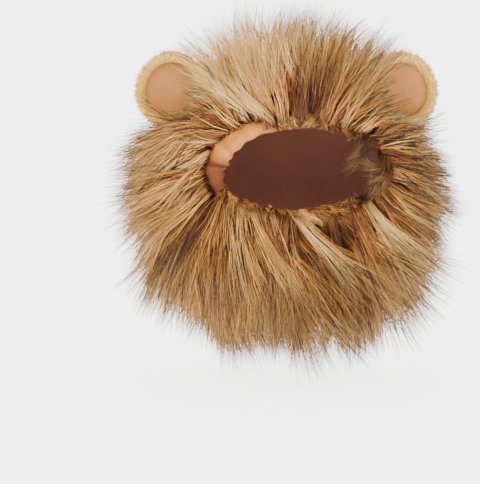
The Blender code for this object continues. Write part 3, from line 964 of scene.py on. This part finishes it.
def ear(side, word, tree, finishes):
    """An ear's stuffed shell with its plush, and the short-pile pad in it."""
    matrix = ear_matrix(side)
    turn = np.array(matrix.to_3x3())
    for piece, profile, slot, cloth, fill in (
        ("shell", shell_profile(), "yellow_plush", "yellow_cloth", 0.7),
        ("inner", pad_profile(), "ear_felt", "ear_felt", 0.5),
    ):
        points, faces, spots = turned(profile, matrix, ear_fold)
        made = finished(f"ear_{word}_{piece}_cloth", points, faces, finishes[cloth])
        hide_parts(f"ear_{word}_{piece}")
        if piece == "inner":
            continue
        normals = np.zeros(len(spots) * 3)
        made.data.vertices.foreach_get("normal", normals)
        normals = normals.reshape(-1, 3)
        out = unit(np.stack((spots[:, 0], spots[:, 1], 0 * spots[:, 0]), axis=-1) + 1e-6) @ turn.T
        front = np.clip(normals @ turn[:, 2] * 1.5 + 1.0, 0.0, 1.0)
        around = unit(np.cross(out, normals) + 1e-6)
        edge = np.hypot(spots[:, 0], spots[:, 1]) / EAR_RADIUS
        values = {
            "rise": normals * PLUSH_LENGTH * 0.55,
            "fall": (normals * 0.25 + out * 0.45 + around * 0.2) * PLUSH_LENGTH,
            # The plush is painted lighter towards the ear's outer edge: painted rim light
            "tone": np.clip(0.25 + 0.6 * edge, 0.0, 1.0),
            "dark": np.zeros(len(spots)),
            "density": np.clip(front, 0.25, 1.0),
            "loose": np.ones(len(spots)),
        }
        quads = [face if len(face) == 4 else (*face, face[-1]) for face in faces]
        pile(f"ear_{word}_{piece}_pile", points, quads, values, {
            "strands": 3000, **PLUSH, "Seed": 41 + side,
        }, tree, finishes[slot])


# The mane

def clear_of_ears(root, rise, fall):
    """The share of its length that each strand in front of an ear keeps, so that it covers only
    the edge of the ear nearest to its root."""
    keep = np.ones(root.shape[:-1])
    reach = np.linalg.norm(rise + fall, axis=-1)
    for side in (-1, 1):
        middle = np.array(ear_matrix(side).translation)
        for step in range(24, 0, -1):
            along = step / 24
            spot = root + rise * (2 * along - along**2) + fall * along**2
            away = np.hypot(spot[..., 0] - middle[0], spot[..., 2] - middle[2])
            inner = (spot[..., 0] - middle[0]) * -side * 0.94 - (spot[..., 2] - middle[2]) * 0.34
            inner = np.clip(inner / np.maximum(away, 1e-6), 0.0, 1.0)
            room = EAR_RADIUS - EAR_COVER_LOW - EAR_COVER * inner
            near = (away < room) & (root[..., 1] < middle[1] + 0.004)
            gone = np.linalg.norm(spot - root, axis=-1)
            keep = np.where(near, np.clip(gone / reach, 0.16, 1.0), keep)
    return keep


def within_reach(root, rise, fall):
    """The share of its length that keeps each strand's tip inside the mane's box."""
    low, high = (np.array(corner) for corner in HAIR_REACH)
    tip = root + rise + fall
    past = np.abs(tip - np.clip(tip, low, high)) / np.maximum(np.abs(tip - root), 1e-6)
    return np.clip(1 - past.max(axis=-1), 0.3, 1.0)


def mane_guide(region):
    """The guide sheet of one piece of the fur. At the face it goes on over the band, except
    where the band shows."""
    sides = int((region["end"] - region["start"]) / GUIDE_DEGREES) + 1
    angles = np.linspace(region["start"], region["end"], sides)
    shares = np.linspace(region["first"], region["last"], GUIDE_ROWS)
    degrees, share = np.meshgrid(angles, shares)
    root = hood_point(degrees, share, np.full(degrees.shape, CLOTH_OUTSIDE))
    front = np.ones(degrees.shape)
    if region["first"] == 0.0:
        over, turn = np.meshgrid(angles, BAND_COVER)
        covering, _ = band_points(
            over, turn, np.zeros(over.shape), -1, FACE_BAND_WIDTH, ROLL_BULGE, 0.0, 0
        )
        root = np.concatenate((covering, root))
        shown = np.clip(1.3 - 3.6 * roll_share(over), 0.0, 1.0)
        front = np.concatenate((shown, front))
        degrees = np.concatenate((over, degrees))
        share = np.concatenate((np.zeros(over.shape), share))
    rise, fall = hair_vectors(degrees, share)
    cut_short, at_crease = up_to_crease(root, rise, fall)
    room = clear_of_ears(root, rise, fall) * within_reach(root, rise, fall)
    keep = (room * cut_short * (1 - AT_CREASE["length"] * at_crease))[..., None]
    is_cut = cut_short < 0.99
    rise = rise * (1 + CUT_RISE * is_cut)[..., None]
    loose = np.where(is_cut, CUT_LOOSE, 1.0) * (1 - AT_CREASE["loose"] * at_crease)
    wrapped = (degrees + 90.0) % 360.0 - 90.0
    to_nape = np.clip((share - 0.3) / 0.5, 0, 1)
    tone = MANE_TONE + patch_sum("tone", degrees, share) - NAPE_DARKER * to_nape
    # Hair rooted at a crease is painted darker: painted shade in the crease
    tone = tone + drift(degrees, share, 40.0) * TONE_DRIFT - AT_CREASE["tone"] * at_crease
    near_face = np.exp(-((share / 0.05) ** 2)) * (np.abs(apart(degrees, 40.0)) < 75.0)
    tone = tone - FACE_DARKER * near_face
    thin = 1 - AT_CREASE["density"] * at_crease
    values = {
        "rise": (rise * keep).reshape(-1, 3),
        "fall": (fall * keep).reshape(-1, 3),
        "tone": np.clip(tone, 0.0, 1.0).ravel(),
        "dark": np.interp(wrapped, DARK_TIPS[:, 0], DARK_TIPS[:, 1]).ravel(),
        "density": (front * thin * np.interp(share, (0.0, 0.3, 0.6), (1.4, 1.2, 0.8))).ravel(),
        "loose": loose.ravel(),
    }
    points = root.reshape(-1, 3)
    return points, grid_faces(*degrees.shape, False), values


def edge_hair(tree, finish):
    """Hair on the face band, except where the band shows: out over the fur above and below the
    opening, and dark and into the opening at the right."""
    degrees, turn = np.meshgrid(np.linspace(-150.0, 102.0, 100), EDGE_TURNS)
    flat = np.zeros(degrees.shape)
    root, out = band_points(degrees, turn, flat, -1, FACE_BAND_WIDTH, ROLL_BULGE, 0.0, 0)
    _, along = frame_at(degrees, flat)
    around = unit(np.gradient(root, axis=1))
    length, aside, inward, tone = (
        column(EDGE_HAIR, EDGE_COLUMNS, name, degrees) for name in EDGE_COLUMNS[1:]
    )
    fall = around * aside[..., None] - along * inward[..., None]
    values = {
        "rise": (out * length[..., None] * 0.34).reshape(-1, 3),
        "fall": (fall * length[..., None] * 0.75).reshape(-1, 3),
        "tone": tone.ravel(),
        "dark": np.interp(degrees, (-60.0, -25.0, 35.0, 60.0), (0.15, 0.45, 0.45, 0.2)).ravel(),
        "density": np.ones(degrees.size),
        "loose": np.ones(degrees.size),
    }
    faces = grid_faces(*degrees.shape, False)
    pile("fur_edge", root.reshape(-1, 3), faces, values, {
        **LONG_HAIR, "strands": 2600, "Wave": 0.0030, "Spread": 0.9, "Tone Spread": 0.5,
        "Lock Pull": 0.1, "Tuft Pull": 0.5, "Seed": 131,
    }, tree, finish)


def mane(tree, finishes):
    backing, area = hood_wall(
        "fur_cloth", CLOTH_OUTSIDE - 0.0020, CLOTH_OUTSIDE, finishes["fur_cloth"]
    )
    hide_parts("mane_fur")
    for number, row in enumerate(REGIONS):
        region = named(REGION_COLUMNS, row)
        points, faces, values = mane_guide(region)
        pile(region["name"], points, faces, values, {
            **LONG_HAIR,
            "strands": region["strands"],
            "Segments": region["segments"],
            "Seed": 101 + number,
        }, tree, finishes["fur"])
    edge_hair(tree, finishes["fur"])


# Finishes

def shader_of(name):
    made = bpy.data.materials.new(name)
    made.use_nodes = True
    return made, Tree(made.node_tree), made.node_tree.nodes["Principled BSDF"]


def ramp(tree, value, stops):
    """A colour ramp with (place, colour) stops in linear colour."""
    node = tree.add("ShaderNodeValToRGB", {0: value})
    places = node.color_ramp.elements
    while len(places) < len(stops):
        places.new(0.5)
    for element, (place, colour) in zip(places, stops):
        element.position = place
        element.color = (*colour, 1.0)
    return node.outputs["Color"]


def blend(tree, factor, first, second):
    node = tree.add("ShaderNodeMix", data_type="RGBA")
    tree.feed(node.inputs[0], factor)
    tree.feed(node.inputs[6], first)
    tree.feed(node.inputs[7], second)
    return node.outputs[2]


def smooth_step(tree, value, low, high):
    node = tree.add(
        "ShaderNodeMapRange", {"Value": value}, interpolation_type="SMOOTHSTEP", clamp=True
    )
    node.inputs["From Min"].default_value = low
    node.inputs["From Max"].default_value = high
    return node.outputs[0]


def strand_place(tree):
    """(tone, along, kind) of a strand from the colour map."""
    place = tree.parts(tree.add("ShaderNodeUVMap", uv_map="OFBake").outputs[0])
    spread = tree.times(place[1], 3.0)
    kind = tree.math("FLOOR", spread)
    along = tree.math("FRACT", spread)
    return place[0], along, kind


def surfaced(tree, shader, colour, roughness, gloss, bump=None):
    """Feeds a shader. The bump is its height, its depth in metres and its strength."""
    tree.feed(shader.inputs["Base Color"], colour)
    shader.inputs["Roughness"].default_value = roughness
    shader.inputs["Specular IOR Level"].default_value = gloss
    if bump:
        made = tree.add("ShaderNodeBump", dict(zip(("Height", "Distance", "Strength"), bump)))
        tree.feed(shader.inputs["Normal"], made.outputs[0])


def noise(tree, place, scale, detail):
    made = tree.add("ShaderNodeTexNoise", {"Vector": place, "Scale": scale, "Detail": detail})
    return made.outputs[0]


def mixed(tree, first, second, share):
    """A share of the first number, and the rest of the second."""
    return tree.total(tree.times(first, share), tree.times(second, 1 - share))


def fur_finish():
    """Long hair from dark roots: most with light tips, some with dark ones, and dark hairs."""
    made, tree, shader = shader_of("long_fur")
    tone, along, kind = strand_place(tree)
    hair = ramp(tree, tone, FUR_TONES)
    root = blend(tree, smooth_step(tree, along, 0.10, 0.50), (*FUR_ROOT, 1.0), hair)
    bright = tree.times(smooth_step(tree, along, 0.55, 1.0), 0.45)
    bright = blend(tree, bright, root, (*FUR_LIGHT_TIP, 1.0))
    darkened = blend(tree, smooth_step(tree, along, 0.58, 0.82), root, (*FUR_DARK_TIP, 1.0))
    guard = blend(tree, smooth_step(tree, along, 0.10, 0.40), root, (*FUR_DARK_TIP, 1.0))
    dark_tipped = tree.math("COMPARE", kind, 1.0)
    dark_tipped.node.inputs[2].default_value = 0.5
    is_guard = tree.math("GREATER_THAN", kind, 1.5)
    colour = blend(tree, is_guard, blend(tree, dark_tipped, bright, darkened), guard)
    surfaced(tree, shader, colour, 0.55, 0.25)
    return made


def plush_finish(name, tones, root):
    """Short plush, by the tone and the height of its strands."""
    made, tree, shader = shader_of(name)
    tone, along, _ = strand_place(tree)
    hair = ramp(tree, tone, tones)
    colour = blend(tree, smooth_step(tree, along, 0.0, 0.6), (*root, 1.0), hair)
    surfaced(tree, shader, colour, 0.8, 0.15)
    return made


def cloth_finish(name, dark, light, weave, depth):
    """Knitted cloth: fine ribs with a slow change of tone."""
    made, tree, shader = shader_of(name)
    place = tree.add("ShaderNodeTexCoord").outputs["Object"]
    slow = noise(tree, place, 60.0, 4.0)
    ribs = tree.add("ShaderNodeTexWave", {
        "Vector": place, "Scale": weave, "Distortion": 1.5, "Detail": 2.0, "Detail Scale": 2.0,
    }).outputs["Fac"]
    mix = mixed(tree, slow, ribs, 0.7)
    colour = ramp(tree, mix, ((0.25, dark), (0.75, light)))
    surfaced(tree, shader, colour, 0.9, 0.1, (mix, depth, 0.6))
    return made


def band_finish():
    """Velour on the roll, bright where it is full, and brown where hair covers the band."""
    made, tree, shader = shader_of("band_cloth")
    place = tree.add("ShaderNodeTexCoord").outputs["Object"]
    mix = mixed(tree, noise(tree, place, 90.0, 3.0), noise(tree, place, 1500.0, 2.0), 0.8)
    velour = ramp(tree, mix, ((0.36, ROLL_DARK), (0.64, ROLL_LIGHT)))
    shown, low = (
        tree.add("ShaderNodeAttribute", attribute_name=name).outputs["Fac"]
        for name in ("shown", "low")
    )
    velour = blend(tree, low, velour, (*ROLL_LOW, 1.0))
    full = smooth_step(tree, shown, 0.12, 0.36)
    colour = blend(tree, full, (*BAND_BROWN, 1.0), velour)
    surfaced(tree, shader, colour, 0.85, 0.1, (mix, 0.0006, 0.5))
    return made


def floor_finish():
    made, _, shader = shader_of("white_ground")
    shader.inputs["Emission Color"].default_value = (1.0, 1.0, 1.0, 1.0)
    shader.inputs["Emission Strength"].default_value = 3.2
    shader.inputs["Base Color"].default_value = (0.95, 0.95, 0.95, 1.0)
    shader.inputs["Roughness"].default_value = 1.0
    shader.inputs["Specular IOR Level"].default_value = 0.0
    return made


# Studio

def floor():
    """A plain ground that runs up behind the wig in one sweep."""
    low = CAD_BOX[0][2] - 0.0005
    bend, far, high = 1.2, 3.0, 4.0
    line = [(-6.0, low), (far - bend, low)]
    for step in range(1, 13):
        turn = math.pi / 2 * step / 12
        line.append((far - bend + bend * math.sin(turn), low + bend * (1 - math.cos(turn))))
    line.append((far, low + high))
    points = [(x, y, z) for y, z in line for x in (-6.0, 6.0)]
    faces = [(2 * i, 2 * i + 1, 2 * i + 3, 2 * i + 2) for i in range(len(line) - 1)]
    mesh = bpy.data.meshes.new("ground")
    mesh.from_pydata(points, [], faces)
    mesh.polygons.foreach_set("use_smooth", [True] * len(mesh.polygons))
    mesh.materials.append(floor_finish())
    placed("ground", mesh)


def light(name, place, size, power):
    lamp = bpy.data.lights.new(name, "AREA")
    lamp.size = size
    lamp.energy = power
    made = placed(name, lamp)
    made.location = place
    aim = OPENING_MIDDLE - Vector(place)
    made.rotation_euler = aim.to_track_quat("-Z", "Y").to_euler()


def studio():
    floor()
    light("front_left", (-0.9, -1.5, 1.2), 1.0, 24.0)
    light("front_right", (1.1, -1.4, 0.9), 1.0, 20.0)
    light("top", (0.0, 0.1, 1.6), 1.4, 20.0)
    world = bpy.data.worlds.new("white")
    world.use_nodes = True
    background = world.node_tree.nodes["Background"]
    background.inputs["Color"].default_value = (1.0, 1.0, 1.0, 1.0)
    background.inputs["Strength"].default_value = 0.38
    bpy.context.scene.world = world


def camera():
    """The photo's view: from straight ahead and a little above, the wig up and to the right."""
    way = Vector((0.0, math.cos(ELEVATION), -math.sin(ELEVATION)))
    up = Vector((0.0, math.sin(ELEVATION), math.cos(ELEVATION)))
    side = (PHOTO_SIZE[0] / 2 - WIG_PIXEL[0]) * SCALE
    rise = (WIG_PIXEL[1] - PHOTO_SIZE[1] / 2) * SCALE
    aim = OPENING_MIDDLE + Vector((side, 0.0, 0.0)) + up * rise
    lens = bpy.data.cameras.new("camera")
    lens.sensor_width = 36.0
    lens.lens = 36.0 * DISTANCE / (max(PHOTO_SIZE) * SCALE)
    made = placed("camera", lens)
    made.location = aim - way * DISTANCE
    made.rotation_euler = (math.pi / 2 - ELEVATION, 0.0, 0.0)
    bpy.context.scene.camera = made


def main():
    finishes = {
        "fur": fur_finish(),
        "yellow_plush": plush_finish("yellow_plush", YELLOW_TONES, YELLOW_ROOT),
        "band_cloth": band_finish(),
    }
    for name, dark, light, weave, depth in (
        ("fur_cloth", BACKING_DARK, BACKING_LIGHT, 300.0, 0.0004),
        ("yellow_cloth", YELLOW_TONES[0][1], YELLOW_TONES[1][1], 600.0, 0.0003),
        ("ear_felt", FELT_DARK, FELT_LIGHT, 900.0, 0.0003),
        ("lining_cloth", LINING_DARK, LINING_LIGHT, 350.0, 0.0002),
    ):
        finishes[name] = cloth_finish(name, dark, light, weave, depth)
    tree = strand_tree()
    lining, area = hood_wall(
        "lining_knit", 0.0, LINING_THICKNESS, finishes["lining_cloth"]
    )
    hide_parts("lining")
    band("face_casing", 0.0, -1, FACE_BAND_WIDTH, ROLL_BULGE, finishes["band_cloth"])
    band("neck_casing", 1.0, 1, NECK_BAND_WIDTH, 0.0, finishes["band_cloth"])
    for side, word in ((-1, "left"), (1, "right")):
        ear(side, word, tree, finishes)
    mane(tree, finishes)
    studio()
    camera()


main()
